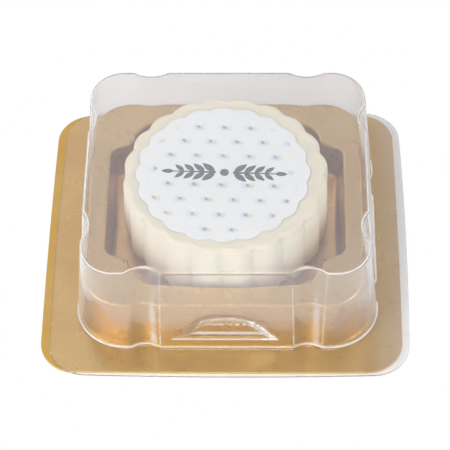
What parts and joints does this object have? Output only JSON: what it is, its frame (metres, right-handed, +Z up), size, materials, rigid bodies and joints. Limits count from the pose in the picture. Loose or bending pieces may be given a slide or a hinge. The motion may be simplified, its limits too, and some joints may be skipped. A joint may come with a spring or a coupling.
{
  "type": "chocolate praline in a clear pack",
  "caption": "Fluted white chocolate praline with a scalloped top plaque, shut in a gold formed tray under a clear grooved lid.",
  "frame": {"origin": "centre of the pack's outer box, on the surface that the tray's flange stands on", "axes": "+Z up through the praline and the lid's top, +X to the right and +Y to the back when the wide side of the pack faces the viewer"},
  "size_m": [0.0614, 0.0576, 0.019],
  "materials": {
    "gold_film": "satin gold, metallised on formed sheet",
    "white_chocolate": "cream, waxy, soft sheen",
    "printed_plaque": "cool white, matt, with small printed ornament",
    "clear_film": "clear, glossy formed film"
  },
  "bodies": {
    "root": {"tray": "gold_film", "praline": "white_chocolate", "plaque": "printed_plaque", "lid": "clear_film"}
  },
  "joints": []
}
